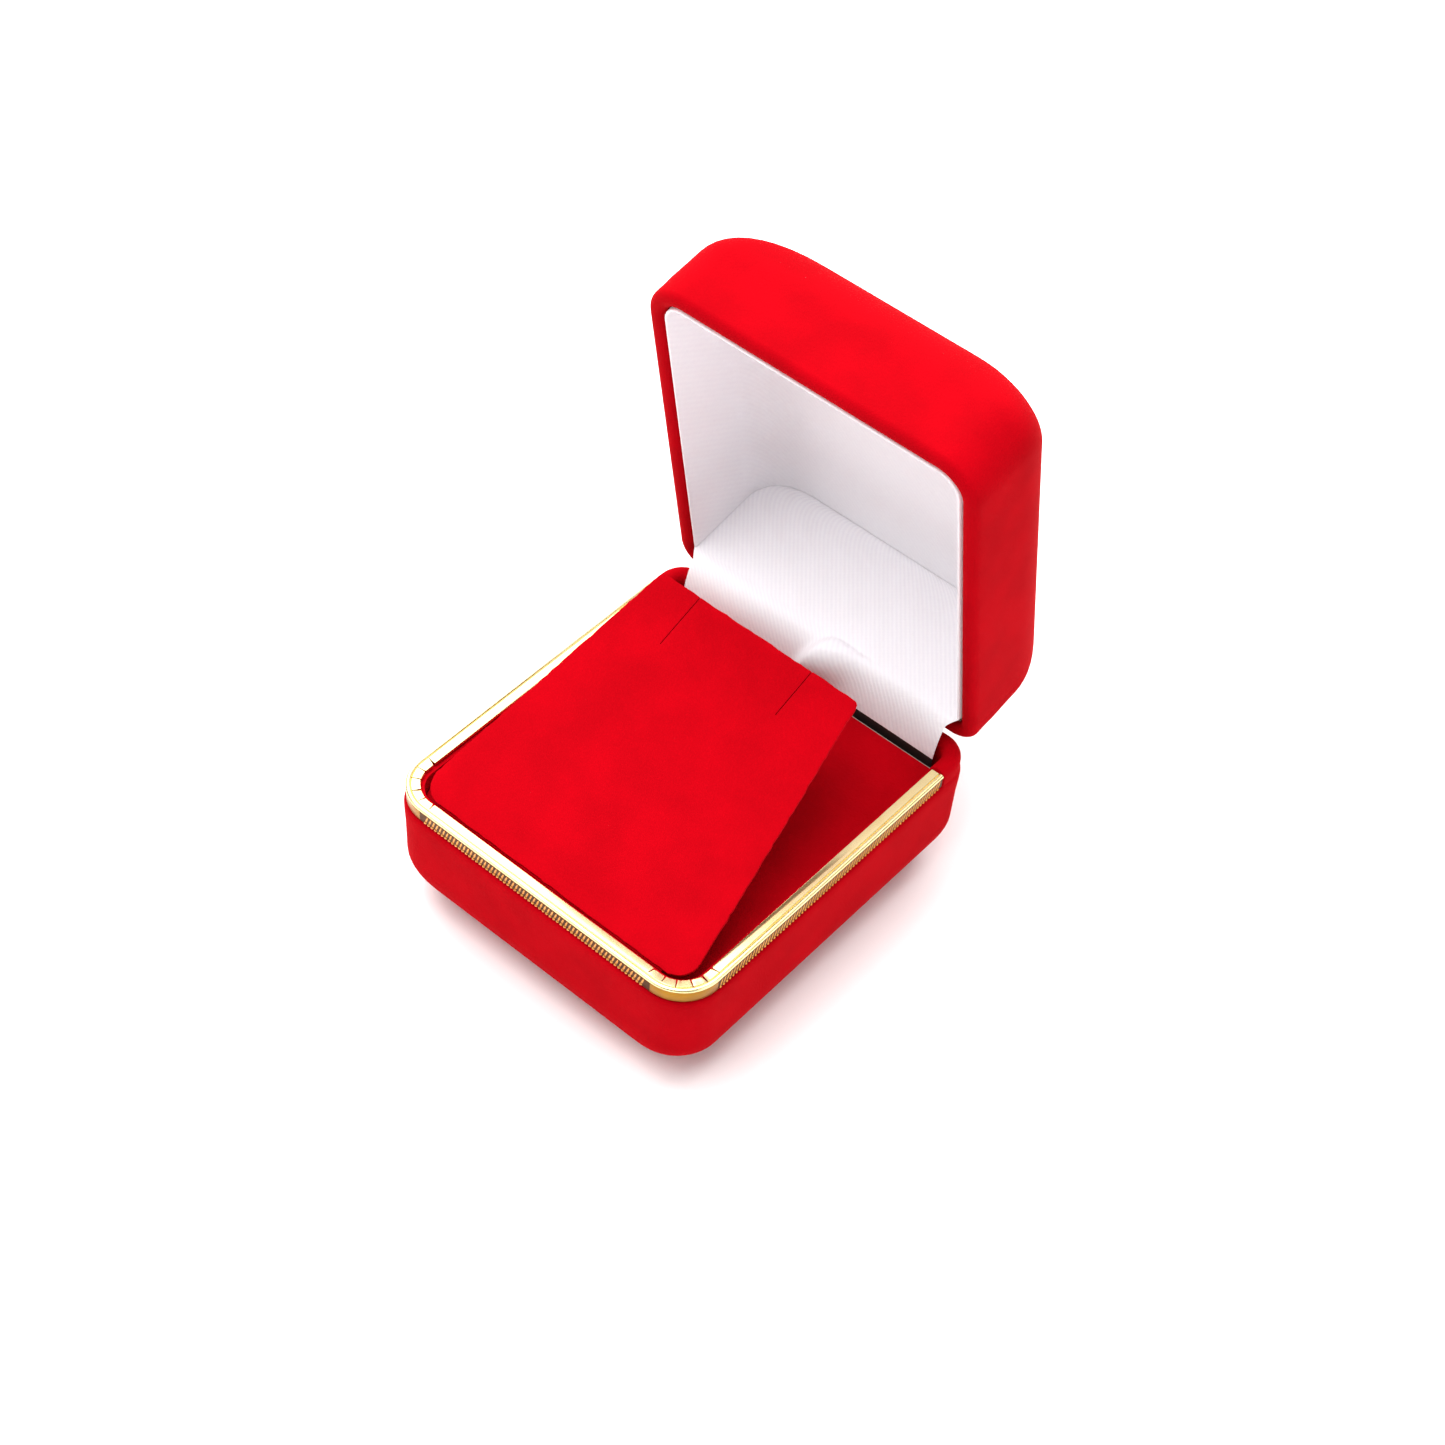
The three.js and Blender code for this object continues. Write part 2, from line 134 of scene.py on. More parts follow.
def leave():
    bpy.ops.object.mode_set(mode="OBJECT")


def pick(piece, test):
    """Selects the vertices whose place passes the test, and the faces that they enclose."""
    mesh = bmesh.from_edit_mesh(piece.data)
    for part in (mesh.faces, mesh.edges, mesh.verts):
        for element in part:
            element.select = False
    for vertex in mesh.verts:
        vertex.select = bool(test(vertex.co))
    mesh.select_flush_mode()
    bmesh.update_edit_mesh(piece.data)


def pick_faces(piece, test):
    """Selects the faces whose centre and normal pass the test."""
    mesh = bmesh.from_edit_mesh(piece.data)
    for part in (mesh.faces, mesh.edges, mesh.verts):
        for element in part:
            element.select = False
    for face in mesh.faces:
        if test(face.calc_center_median(), face.normal):
            face.select_set(True)
    bmesh.update_edit_mesh(piece.data)


def cut(piece, at, normal, drop=False):
    """Cuts the whole piece by a plane; drop throws away the side that the normal points to."""
    bpy.ops.mesh.select_all(action="SELECT")
    bpy.ops.mesh.bisect(plane_co=at, plane_no=normal, clear_outer=drop, use_fill=drop)


def outward(piece):
    bpy.ops.mesh.select_all(action="SELECT")
    bpy.ops.mesh.normals_make_consistent(inside=False)


def smooth(piece, angle=35):
    """Shades a finished piece smooth, with edges sharper than the angle left crisp."""
    only(piece)
    bpy.ops.object.shade_smooth_by_angle(angle=math.radians(angle))


def apply_modifier(piece, kind, **settings):
    only(piece)
    modifier = piece.modifiers.new(kind.lower(), kind)
    for key, value in settings.items():
        setattr(modifier, key, value)
    bpy.ops.object.modifier_apply(modifier=modifier.name)


def swing(piece, about, angle):
    """Turns a piece about a line along X through a point, and puts the turn into its mesh."""
    only(piece)
    turn = Matrix.Translation(about) @ Matrix.Rotation(angle, 4, "X") @ Matrix.Translation(-about)
    piece.matrix_world = turn @ piece.matrix_world
    bpy.ops.object.transform_apply(location=True, rotation=True, scale=True)


def count(piece):
    piece.data.calc_loop_triangles()
    print(piece.name, len(piece.data.loop_triangles), "triangles")


# %% [markdown]
# ## One level of a half
# Both halves are rounded rectangles that shrink towards their far face while their corners grow rounder,
# as a vacuum-formed shell does. A level is one such rectangle. A body is then a stack of levels: the plane
# is bevelled at its corners once, and each new level is an extrusion whose four corners are moved and
# scaled. A bevel along the bottom edge would be shorter to write, but it folds over itself where the edge
# round is larger than the corner round.

# %% Levels and stacks
def level(form, inset, turn=0.0, drop=None):
    """Rounded rectangle of a half, inset from the outside; turn runs from 0 to 1 round the far edge."""
    angle = turn * math.pi / 2
    side = (form["edge"] - inset) * (1 - math.cos(angle))
    rear = max(BACK_EDGE - inset, 0.1 * MM) * (1 - math.cos(angle))
    deep = form["height"] - form["edge"] + (form["edge"] - inset) * math.sin(angle)
    half = WIDTH / 2 - inset - side
    return {
        "half": half,
        "front": -DEPTH / 2 + inset + side,
        "back": DEPTH / 2 - inset - rear,
        "radius": {
            end: min(max(rim_radius - inset, 0.8 * MM) + form["growth"] * side, half - 0.05 * MM)
            for end, rim_radius in (("front", CORNER_R), ("back", REAR_R))
        },
        "z": form["rim"] + form["way"] * (deep if drop is None else drop),
    }


def corner_centre(lv, right, end):
    radius = lv["radius"][end]
    y = lv["front"] + radius if end == "front" else lv["back"] - radius
    return Vector((right * (lv["half"] - radius), y, lv["z"]))


def move_corners(piece, old, new):
    """Takes the selected level from its old outline to the new one, a corner at a time."""
    mesh = bmesh.from_edit_mesh(piece.data)
    cap = {vertex.index for vertex in mesh.verts if vertex.select}
    middle = (old["front"] + old["back"]) / 2
    corners = {}
    for vertex in mesh.verts:
        if vertex.index in cap:
            key = (1 if vertex.co.x > 0 else -1, "front" if vertex.co.y < middle else "back")
            corners.setdefault(key, set()).add(vertex.index)
    for (right, end), members in corners.items():
        pick_indices(piece, members)
        centre = corner_centre(new, right, end)
        shift = centre - corner_centre(old, right, end)
        grow = new["radius"][end] / old["radius"][end]
        bpy.ops.transform.translate(value=(shift.x, shift.y, 0))
        bpy.ops.transform.resize(value=(grow, grow, 1), center_override=centre)
    pick_indices(piece, cap)


def pick_indices(piece, members):
    mesh = bmesh.from_edit_mesh(piece.data)
    for part in (mesh.faces, mesh.edges, mesh.verts):
        for element in part:
            element.select = False
    for vertex in mesh.verts:
        vertex.select = vertex.index in members
    mesh.select_flush_mode()
    bmesh.update_edit_mesh(piece.data)


def stack(name, levels, segments=12):
    """A closed body through all the levels, left in edit mode."""
    first = levels[0]
    piece = new_piece(name, bpy.ops.mesh.primitive_plane_add, size=1)
    piece.scale = (2 * first["half"], first["back"] - first["front"], 1)
    piece.location = (0, (first["front"] + first["back"]) / 2, first["z"])
    bpy.ops.object.transform_apply(location=True, rotation=True, scale=True)
    edit(piece)
    middle = (first["front"] + first["back"]) / 2
    for end, side in (("front", -1), ("back", 1)):
        pick(piece, lambda co: (co.y - middle) * side > 0.4 * (first["back"] - first["front"]))
        bpy.ops.mesh.bevel(offset=first["radius"][end], segments=segments, affect="VERTICES")
    bpy.ops.mesh.select_all(action="SELECT")
    for old, new in zip(levels, levels[1:]):
        bpy.ops.mesh.extrude_region_move(TRANSFORM_OT_translate={"value": (0, 0, new["z"] - old["z"])})
        move_corners(piece, old, new)
    outward(piece)
    return piece


def quarter(form, inset, steps, back=False):
    turns = [i / steps for i in range(steps + 1)]
    return [level(form, inset, turn) for turn in (reversed(turns) if back else turns)]


# %% [markdown]
# ## Flocked velvet cover
# The velvet is one skin: it comes up the wall, rolls over the rim and is glued down a few millimetres inside.
# It could be a cloth, but it is bonded to the plastic all over and never moves, so it is modelled as a closed
# skin with a soft roll at the rim. A dip is then pushed into the back rim, where the hinge needs room.

# %% Velvet cover of one half
ROLL = 1.1 * MM
HINGE_HALF = 15.6 * MM


def rim_roll(form, outer, inner, height, steps):
    """Levels over the rim, from the inside face round to the outside one."""
    levels = []
    for i in range(steps + 1):
        angle = math.pi * i / steps
        inset = (outer + inner) / 2 + (inner - outer) / 2 * math.cos(angle)
        levels.append(level(form, inset, drop=height * (1 - math.sin(angle))))
    return levels


def velvet_cover(name, form, walls):
    """The skin of one half; walls lists heights below the rim and how far the pile bulges there, in mm."""
    levels = quarter(form, COVER_T, 8, back=True)
    levels += [level(form, COVER_T, drop=ROLL + 0.3 * MM), level(form, TURN_OUT, drop=ROLL + 0.3 * MM)]
    levels += [level(form, TURN_OUT, drop=TURN_DEPTH), level(form, TURN_IN, drop=TURN_DEPTH)]
    levels += rim_roll(form, 0, TURN_IN, ROLL, 12)
    levels += [level(form, -bulge * MM, drop=drop * MM) for drop, bulge in walls]
    levels += quarter(form, 0, 16)
    return stack(name, levels, segments=14)


def hinge_dip(piece, form, room):
    """Lowers the rim of the back wall along the hinge."""
    for x in (HINGE_HALF, HINGE_HALF + 0.9 * MM):
        for side in (-1, 1):
            cut(piece, (side * x, 0, 0), (1, 0, 0))
    still = form["rim"] + form["way"] * 2.8 * MM
    squeeze = 1 - (room - LID_GAP) / (2.8 * MM)
    away = form["way"]
    reach = HINGE_HALF + 0.2 * MM
    pick(piece, lambda co: abs(co.x) < reach and co.y > 25.4 * MM and (co.z - still) * away < -1e-6)
    bpy.ops.transform.resize(value=(1, 1, squeeze), center_override=(0, PIN.y, still))


SHOULDER = ((2.2, 0), (2.35, 0), (2.5, 0.06), (2.75, 0.16), (3.2, 0.22), (4.2, 0.2), (6.5, 0.08))
base_cover = velvet_cover("velvet_base_cover", BASE, SHOULDER)
hinge_dip(base_cover, BASE, 1.4 * MM)

# %% [markdown]
# The metal strip is crimped over the front and sides of the base, so the velvet under it is squeezed flat.
# Two cuts mark where the strip ends. In front of them the outer half of the roll is pushed in and its top is
# flattened. The inner half stays, as it leaves room for the flap. Behind the cuts the velvet keeps its full
# roll and stands a little proud.

# %% Velvet pressed under the strip
TRIM_END_Y = 22 * MM
PRESS, SOFT_PRESS = 0.42 * MM, 0.12 * MM
UNDER_TRIM_Z = RIM_Z - 0.95 * MM
OUTER_HALF = CORNER_R - TURN_IN / 2
PROUD = 0.25 * MM
corner_x, corner_y = WIDTH / 2 - CORNER_R, CORNER_R - DEPTH / 2


def from_core(co):
    """Distance out from the rectangle through the centres of the rim's corners; the skin is at CORNER_R."""
    return math.hypot(max(abs(co.x) - corner_x, 0), max(corner_y - co.y, 0))


for y in (TRIM_END_Y, TRIM_END_Y + 0.35 * MM):
    cut(base_cover, (0, y, 0), (0, 1, 0))
in_front = TRIM_END_Y + 0.1 * MM
reach = DEPTH / 2 - CORNER_R
for band, squeeze in ((RIM_Z - 2.4 * MM, PRESS), (RIM_Z - 2.56 * MM, SOFT_PRESS)):
    pick(base_cover, lambda co: co.y < in_front and co.z > band and from_core(co) > OUTER_HALF)
    bpy.ops.transform.resize(value=(1 - 2 * squeeze / WIDTH, 1, 1), center_override=(0, 0, 0))
    pick(base_cover, lambda co: co.y < -reach and co.z > band and from_core(co) > OUTER_HALF)
    bpy.ops.transform.resize(value=(1, 1 - squeeze / CORNER_R, 1), center_override=(0, -reach, 0))
pick(base_cover, lambda co: co.y < in_front and co.z > UNDER_TRIM_Z)
bpy.ops.transform.resize(value=(1, 1, 0.02), center_override=(0, 0, UNDER_TRIM_Z))
pick(base_cover, lambda co: co.y > in_front and co.z > RIM_Z - 1.3 * MM and abs(co.x) > HINGE_HALF + 1.2 * MM)
bpy.ops.transform.translate(value=(0, 0, PROUD))
outward(base_cover)
leave()
smooth(base_cover, 40)
count(base_cover)

# %% Velvet cover of the lid, made closed and swung open
lid_cover = velvet_cover("velvet_lid_cover", LID, ((2.8, 0), (4, 0.05), (7, 0)))
hinge_dip(lid_cover, LID, 1.4 * MM)
outward(lid_cover)
leave()
swing(lid_cover, PIN, -OPEN_ANGLE)
smooth(lid_cover, 40)
count(lid_cover)

# %% [markdown]
# ## Gilt rim strip
# The real strip is thin brass, rolled to a section with a round bead, a groove, a flat top and a turned-down
# lip, then bent round the front corners. The same is done here: the section is drawn once as a curve and
# drawn along a U-shaped path. A row of extrusions would do it too, but a curve keeps the section square to
# the path all the way round.

# %% Section and path of the strip
TRIM_IN = 2.0 * MM
TRIM_T = 0.3 * MM
TRIM_DROP = 2.24 * MM
BEAD_R = 0.36 * MM
FLANGE_IN = 0.1 * MM


def trim_section():
    """Points as distance in from the outside face and height below the top."""
    points = [(TRIM_T, -TRIM_DROP), (FLANGE_IN + 0.04 * MM, -TRIM_DROP - 0.03 * MM)]
    points += [(FLANGE_IN, -TRIM_DROP + 0.08 * MM), (FLANGE_IN, -0.62 * MM)]
    for i in range(10):
        angle = math.pi * (1.2 - 1.08 * i / 9)
        points.append((BEAD_R * (1.0 + math.cos(angle)), BEAD_R * (math.sin(angle) - 1)))
    points += [(0.72 * MM, -0.3 * MM), (0.76 * MM, -0.2 * MM), (0.82 * MM, -0.16 * MM)]
    points += [(1.84 * MM, -0.2 * MM), (1.94 * MM, -0.25 * MM), (TRIM_IN, -0.36 * MM)]
    points += [(TRIM_IN, -0.62 * MM), (TRIM_IN - 0.16 * MM, -0.62 * MM), (TRIM_IN - 0.22 * MM, -0.5 * MM)]
    points += [(0.8 * MM, -0.46 * MM), (0.5 * MM, -0.55 * MM), (TRIM_T, -0.8 * MM)]
    return points


def line_curve(name, points, closed=False):
    """A curve of straight stretches through the points."""
    data = bpy.data.curves.new(name, "CURVE")
    data.dimensions = "2D" if closed else "3D"
    spline = data.splines.new("POLY")
    spline.points.add(len(points) - 1)
    for point, place in zip(spline.points, points):
        point.co = (*place, 1)
    spline.use_cyclic_u = closed
    made = bpy.data.objects.new(name, data)
    bpy.context.scene.collection.objects.link(made)
    return made


def arc(centre, radius, start, steps):
    """Points on a quarter turn, anticlockwise from the start angle in degrees."""
    angles = [math.radians(start + 90 * i / steps) for i in range(steps + 1)]
    return [(centre[0] + radius * math.cos(a), centre[1] + radius * math.sin(a), RIM_Z) for a in angles]


route = [(-WIDTH / 2, TRIM_END_Y, RIM_Z)]
route += arc((-corner_x, corner_y), CORNER_R, 180, 24) + arc((corner_x, corner_y), CORNER_R, 270, 24)
route += [(WIDTH / 2, TRIM_END_Y, RIM_Z)]

section = line_curve("strip_section", [(-inward, up, 0) for inward, up in trim_section()], closed=True)
rim_strip = line_curve("gilt_rim_strip", route)
rim_strip.data.twist_mode = "Z_UP"
rim_strip.data.bevel_mode = "OBJECT"
rim_strip.data.bevel_object = section
rim_strip.data.use_fill_caps = True
only(rim_strip)
bpy.ops.object.convert(target="MESH")
rim_strip = bpy.context.object
bpy.data.objects.remove(section)
edit(rim_strip)
bpy.ops.mesh.select_all(action="SELECT")
bpy.ops.mesh.remove_doubles(threshold=0.001 * MM)
outward(rim_strip)
leave()
print("strip half width", max(v.co.x for v in rim_strip.data.vertices))

# %% [markdown]
# At the corners the flat top can't shrink, so it is snipped into tabs. Each snip is a thin block whose inner
# end flares out, turned about the corner's centre. The outermost snips open into a V, because there the strip
# starts to bend. One boolean takes them all out.

# %% Snips at the front corners
SNIP_STEP = 22.2
SNIPS = (  # half width at the inner edge and in the slit, and the radius where the slit ends, in mm
    (0.3, 0.12, 5.15), (0.2, 0.1, 5.1), (0.14, 0.12, 5.25),
    (0.14, 0.11, 5.35), (0.16, 0.1, 5.3), (0.34, 0.1, 5.3),
)


def snip(side, angle, mouth, slit, tip):
    """A wedge along +X, narrowing away from the centre, then turned into place round the corner."""
    start = CORNER_R - TRIM_IN - 0.3 * MM
    throat = start + 0.75 * MM
    middle = (start + tip) / 2
    cutter = new_piece("snip", bpy.ops.mesh.primitive_cube_add, size=1, location=(middle, 0, RIM_Z))
    edit(cutter)
    bpy.ops.mesh.select_all(action="SELECT")
    bpy.ops.transform.resize(value=(tip - start, 2 * slit, 3 * MM), center_override=(middle, 0, RIM_Z))
    cut(cutter, (throat, 0, 0), (1, 0, 0))
    pick(cutter, lambda co: co.x < throat - 0.1 * MM)
    bpy.ops.transform.resize(value=(1, mouth / slit, 1), center_override=(throat, 0, RIM_Z))
    pick(cutter, lambda co: co.x > throat + 0.1 * MM)
    bpy.ops.transform.resize(value=(1, 0.55, 1), center_override=(throat, 0, RIM_Z))
    leave()
    cutter.matrix_world = Matrix.Translation((side * corner_x, corner_y, 0)) @ Matrix.Rotation(angle, 4, "Z")
    bpy.ops.object.transform_apply(location=True, rotation=True, scale=True)
    return cutter


def snip_angle(side, step):
    """Where the corner is snipped: the row is centred on its diagonal."""
    diagonal = 315 if side > 0 else 225
    return math.radians(diagonal + side * (step - (len(SNIPS) - 1) / 2) * SNIP_STEP)


snips = []
for side in (-1, 1):
    for step, sizes in enumerate(SNIPS):
        off = math.radians(random.uniform(-1.5, 1.5))
        snips.append(snip(side, snip_angle(side, step) + off, *[size * MM for size in sizes]))
only(snips[0])
for cutter in snips:
    cutter.select_set(True)
bpy.ops.object.join()
snips = bpy.context.object
apply_modifier(rim_strip, "BOOLEAN", operation="DIFFERENCE", solver="EXACT", object=snips)
bpy.data.objects.remove(snips)
count(rim_strip)

# %% [markdown]
# Each tab is pressed down by hand on the real box, so no two lie quite alike. Tabs are found by their angle
# round the corner, and each gets its own small drop towards its inner end.

# %% Tabs that lie a little differently
edit(rim_strip)
for side in (-1, 1):
    for step in range(len(SNIPS) - 1):
        aim = (snip_angle(side, step) + snip_angle(side, step + 1)) / 2
        drop = random.uniform(0.03, 0.14) * MM

        def on_tab(co):
            x, y = co.x - side * corner_x, co.y - corner_y
            off = (math.atan2(y, x) - aim + math.pi) % (2 * math.pi) - math.pi
            return abs(math.degrees(off)) < SNIP_STEP * 0.48 and math.hypot(x, y) < CORNER_R - 1.5 * MM
        pick(rim_strip, on_tab)
        bpy.ops.transform.translate(value=(0, 0, -drop))
leave()
smooth(rim_strip, 30)

# %% [markdown]
# The side flange is rolled with slanted ridges over a row of small beads. One ridge and one bead are
# modelled, an Array copies them along, and the row is placed on the front and on both sides. The corners
# stay smooth, as the bend irons them out.

# %% Knurled rows
PITCH = 0.6 * MM
RIDGE_TALL = 1.25 * MM


def knurl_row(name, copies, facing, at):
    """A row of slanted ridges and beads along X, turned to face outwards and moved into place."""
    ridge = new_piece(name, bpy.ops.mesh.primitive_cylinder_add,
                      vertices=6, radius=0.19 * MM, depth=RIDGE_TALL)
    edit(ridge)
    for end in (-1, 1):
        pick(ridge, lambda co: co.z * end > 0)
        bpy.ops.transform.resize(value=(0.6, 0.3, 1), center_override=(0, 0, 0))
        bpy.ops.transform.translate(value=(end * 0.2 * MM, 0, 0))
    cut(ridge, (0, 0, 0), (0, 0, 1))
    pick(ridge, lambda co: abs(co.z) < 0.01 * MM)
    bpy.ops.transform.resize(value=(1.4, 1.8, 1), center_override=(0, 0, 0))
    leave()
    new_piece(name + "_bead", bpy.ops.mesh.primitive_ico_sphere_add, subdivisions=1,
              radius=0.24 * MM, location=(-0.22 * MM, 0.02 * MM, -RIDGE_TALL / 2 - 0.02 * MM))
    ridge.select_set(True)
    bpy.context.view_layer.objects.active = ridge
    bpy.ops.object.join()
    apply_modifier(ridge, "ARRAY", use_relative_offset=False, use_constant_offset=True,
                   constant_offset_displace=(PITCH, 0, 0), count=copies)
    ridge.matrix_world = (
        Matrix.Translation(at) @ Matrix.Rotation(math.radians(facing), 4, "Z")
        @ Matrix.Translation((-PITCH * (copies - 1) / 2, 0, 0))
    )
    bpy.ops.object.transform_apply(location=True, rotation=True, scale=True)
    return ridge


row_z = RIM_Z - 1.38 * MM
row_in = FLANGE_IN + 0.04 * MM
side_middle = (TRIM_END_Y + corner_y) / 2
rows = [
    knurl_row("knurl_front", 62, 0, (0, row_in - DEPTH / 2, row_z)),
    knurl_row("knurl_right", 73, 90, (WIDTH / 2 - row_in, side_middle, row_z)),
    knurl_row("knurl_left", 73, -90, (row_in - WIDTH / 2, side_middle, row_z)),
]
for row in rows:
    count(row)

# %% [markdown]
# ## Insert
# The insert is a flocked card pressed into the base: a flat floor with a skirt that hides its edge. It is a
# shallow stack of levels, cut straight at the back where the satin goes down behind it.

# %% Flocked floor of the insert
FLOOR_Z = RIM_Z - 3 * MM
FLOOR_BACK_Y = 24.0 * MM
SKIRT_Z = 12.8 * MM


def deck(inset, z):
    return level(BASE, inset, drop=BASE["rim"] - z)


skin = 2.77 * MM
insert_floor = stack("insert_floor_velvet", [
    deck(skin, FLOOR_Z - 0.36 * MM), deck(skin, SKIRT_Z), deck(2.6 * MM, SKIRT_Z),
    deck(2.6 * MM, FLOOR_Z - 0.3 * MM), deck(2.64 * MM, FLOOR_Z - 0.12 * MM),
    deck(2.74 * MM, FLOOR_Z - 0.03 * MM), deck(2.9 * MM, FLOOR_Z),
])
cut(insert_floor, (0, FLOOR_BACK_Y, 0), (0, 1, 0), drop=True)
leave()
smooth(insert_floor, 40)
count(insert_floor)

# %% [markdown]
# ## Flap
# The flap is one piece of flocked card that folds up from the front of the insert and narrows towards the
# back, with two slits for a clasp or ear wires. A plane is cut to the outline, its corners are bevelled, and
# it is cut into a fine mesh so that it can take a slight bow and sit a little to the right at the front, as
# a hand-creased flap does. Thickness comes last.

# %% Flap
FLAP_LENGTH, FLAP_FRONT, FLAP_BACK = 41.9 * MM, 22.2 * MM, 16.4 * MM
FLAP_SKEW = 0.25 * MM
FLAP_STRAIGHT = 3.4 * MM
SLITS = ((-9.9 * MM, 8.2 * MM), (8.8 * MM, 7.4 * MM))
SLIT_HALF = 0.053 * MM
BOW = 0.2 * MM
FLAP_T = 0.45 * MM
FUZZ = 0.07 * MM

flap = new_piece("flap_velvet_face", bpy.ops.mesh.primitive_plane_add, size=1)
edit(flap)
bpy.ops.mesh.select_all(action="SELECT")
bpy.ops.transform.resize(value=(2 * FLAP_FRONT, FLAP_LENGTH, 1), center_override=(0, 0, 0))
bpy.ops.transform.translate(value=(0, FLAP_LENGTH / 2, 0))
cut(flap, (0, FLAP_STRAIGHT, 0), (0, 1, 0))
pick(flap, lambda co: co.y > FLAP_LENGTH - 0.1 * MM)
bpy.ops.transform.resize(value=(FLAP_BACK / FLAP_FRONT, 1, 1), center_override=(0, 0, 0))
pick(flap, lambda co: co.y < 0.1 * MM)
bpy.ops.mesh.bevel(offset=3 * MM, segments=10, affect="VERTICES")
pick(flap, lambda co: co.y > FLAP_LENGTH - 0.1 * MM)
bpy.ops.mesh.bevel(offset=0.8 * MM, segments=5, affect="VERTICES")
for x, length in SLITS:
    for edge in (x - SLIT_HALF, x + SLIT_HALF):
        cut(flap, (edge, 0, 0), (1, 0, 0))
    cut(flap, (0, FLAP_LENGTH - length, 0), (0, 1, 0))
pick_faces(flap, lambda at, normal: any(
    abs(at.x - x) < SLIT_HALF and at.y > FLAP_LENGTH - length for x, length in SLITS))
bpy.ops.mesh.delete(type="FACE")
GRID = 0.95 * MM
for i in range(1, int(FLAP_LENGTH / GRID)):
    cut(flap, (0, i * GRID, 0), (0, 1, 0))
for i in range(-22, 23):
    cut(flap, (i * GRID + 0.3 * MM, 0, 0), (1, 0, 0))
bpy.ops.mesh.select_all(action="DESELECT")
bpy.ops.mesh.select_non_manifold()
rim = {v.index for v in bmesh.from_edit_mesh(flap.data).verts if v.select}
leave()
for vertex in flap.data.vertices:
    across = vertex.co.x / FLAP_FRONT
    along = vertex.co.y / FLAP_LENGTH
    vertex.co.z = BOW * ((1 - across * across) * math.sin(math.pi * along) - 1)
    vertex.co.x += FLAP_SKEW * (1 - along)
    in_slit = any(abs(vertex.co.x - x) < 0.5 * MM and along > 0.7 for x, length in SLITS)
    if vertex.index in rim and not in_slit:
        vertex.co.x += random.uniform(-FUZZ, FUZZ)
        vertex.co.y += random.uniform(-FUZZ, FUZZ)
edit(flap)
bpy.ops.mesh.select_all(action="SELECT")
bpy.ops.mesh.extrude_region_move(TRANSFORM_OT_translate={"value": (0, 0, -FLAP_T)})
outward(flap)
leave()
apply_modifier(flap, "BEVEL", width=0.14 * MM, segments=3, limit_method="ANGLE",
               angle_limit=math.radians(50), use_clamp_overlap=True)
flap.matrix_world = Matrix.Translation(FOLD) @ Matrix.Rotation(FLAP_SLOPE, 4, "X")
bpy.ops.object.transform_apply(location=True, rotation=True, scale=True)
smooth(flap, 60)
count(flap)

# %% [markdown]
# The flap has no hinge: the same flocked card is simply creased along the front. A narrow strip stands for
# that crease, and it bends between the insert and the flap.

# %% Fold at the front of the flap
fold = new_piece("flap_fold_velvet", bpy.ops.mesh.primitive_plane_add, size=1)
edit(fold)
bpy.ops.mesh.select_all(action="SELECT")
fold_half, fold_y = FLAP_FRONT - 3.2 * MM, FOLD.y + 0.2 * MM
bpy.ops.transform.resize(value=(2 * fold_half, 1.7 * MM, 1), center_override=(0, 0, 0))
leave()
upright = Matrix.Rotation(math.pi / 2, 4, "X")
fold.matrix_world = Matrix.Translation((0, fold_y, FLOOR_Z + 0.95 * MM)) @ upright
bpy.ops.object.transform_apply(location=True, rotation=True, scale=True)
edit(fold)
for i in range(1, 6):
    cut(fold, (0, 0, FLOOR_Z + 0.1 * MM + i * 0.28 * MM), (0, 0, 1))
pick(fold, lambda co: FLOOR_Z + 0.4 * MM < co.z < FLOOR_Z + 1.3 * MM)
bpy.ops.transform.translate(value=(0, -0.12 * MM, 0))
leave()
apply_modifier(fold, "SOLIDIFY", thickness=0.3 * MM, offset=0)
smooth(fold, 60)
count(fold)

# %% [markdown]
# ## Satin in the lid
# The lid is lined with white satin over a formed card. It is smooth, so it is another stack of levels: up the
# outside, over a narrow folded edge at the rim, and down the inside. The card is formed a little squarer than
# the lid's shell, so it has its own edge round. The back is left open for the panel.

# %% Satin lining of the walls and ceiling
PANEL_Y = 24.2 * MM
FORMED_EDGE = 8.7 * MM
FORMED = {**LID, "edge": FORMED_EDGE}
lining_levels = quarter(FORMED, LINING_OUT, 12, back=True)
for share, drop in ((0, 0.5), (0.15, 0.34), (0.4, 0.26), (0.7, 0.28), (1, 0.5)):
    inset = LINING_OUT + share * (LINING_IN - LINING_OUT)
    lining_levels.append(level(FORMED, inset, drop=drop * MM))
lining_levels += quarter(FORMED, LINING_IN, 14)
lid_lining = stack("satin_lid_lining", lining_levels, segments=14)
cut(lid_lining, (0, PANEL_Y - 0.15 * MM, 0), (0, 1, 0), drop=True)
leave()
swing(lid_lining, PIN, -OPEN_ANGLE)
smooth(lid_lining, 40)
count(lid_lining)

# %% [markdown]
# ## Satin panel and strip
# One length of satin covers the card at the back of the lid, runs down over the hinge and is tucked behind
# the insert. Over the hinge it is loose, so that the lid can shut, and the bow spring behind it pushes it
# forward in the middle.

# %% Route of the satin
PANEL_TOP = LID["rim"] + LID["height"] - LINING_OUT - 0.1 * MM
PANEL_LOW = RIM_Z + 0.6 * MM
STRIP_END = Vector((0, 24.85 * MM, 18 * MM))
TAIL_Z = 12.6 * MM
TAIL_HALF = 21.7 * MM
opened = Matrix.Translation(PIN) @ Matrix.Rotation(-OPEN_ANGLE, 4, "X") @ Matrix.Translation(-PIN)
panel_top = opened @ Vector((0, PANEL_Y, PANEL_TOP))
panel_low = opened @ Vector((0, PANEL_Y, PANEL_LOW))
down_panel = (panel_low - panel_top).normalized()
knee = panel_low + down_panel * 2.4 * MM


